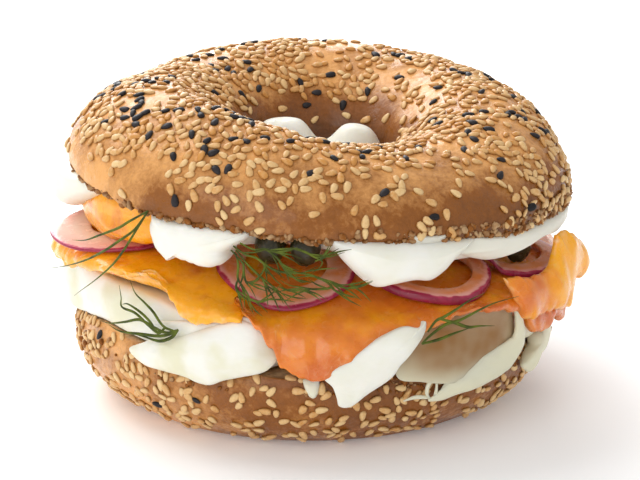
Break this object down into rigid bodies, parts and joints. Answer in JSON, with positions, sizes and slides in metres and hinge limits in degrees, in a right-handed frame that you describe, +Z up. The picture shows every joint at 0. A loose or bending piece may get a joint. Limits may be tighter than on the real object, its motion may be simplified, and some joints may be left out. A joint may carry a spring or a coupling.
{
  "type": "filled bagel",
  "caption": "Seeded ring roll cut in half, filled with soft cheese, smoked salmon, red onion, capers and dill, standing on its flat base.",
  "frame": {"origin": "middle of the outer box, on the table that the base stands on", "axes": "+Z up, +Y to the back, the open front with most filling faces -Y"},
  "size_m": [0.1202, 0.119, 0.0716],
  "materials": {
    "crust": "baked golden-brown crust with sesame seeds",
    "cream": "smooth soft white cheese with a faint sheen",
    "salmon": "moist translucent orange fish with fine pale lines",
    "onion": "moist pink flesh with a thin purple skin",
    "caper": "dull dark olive skin",
    "dill": "dull green fronds"
  },
  "bodies": {
    "root": {"crown": "crust", "heel": "crust", "cream_upper": "cream", "cream_lower": "cream", "cream_swoosh": "cream", "salmon_left": "salmon", "salmon_front": "salmon", "salmon_right": "salmon", "salmon_back": "salmon", "salmon_fold_right": "salmon", "salmon_fold_left": "salmon", "onion_left": "onion", "onion_centre": "onion", "onion_middle_right": "onion", "onion_right": "onion", "onion_back_right": "onion", "onion_back_left": "onion", "caper_front_left": "caper", "caper_front_right": "caper", "caper_right": "caper", "caper_back": "caper", "dill_left": "dill", "dill_low_left": "dill", "dill_centre": "dill", "dill_right": "dill"}
  },
  "joints": []
}
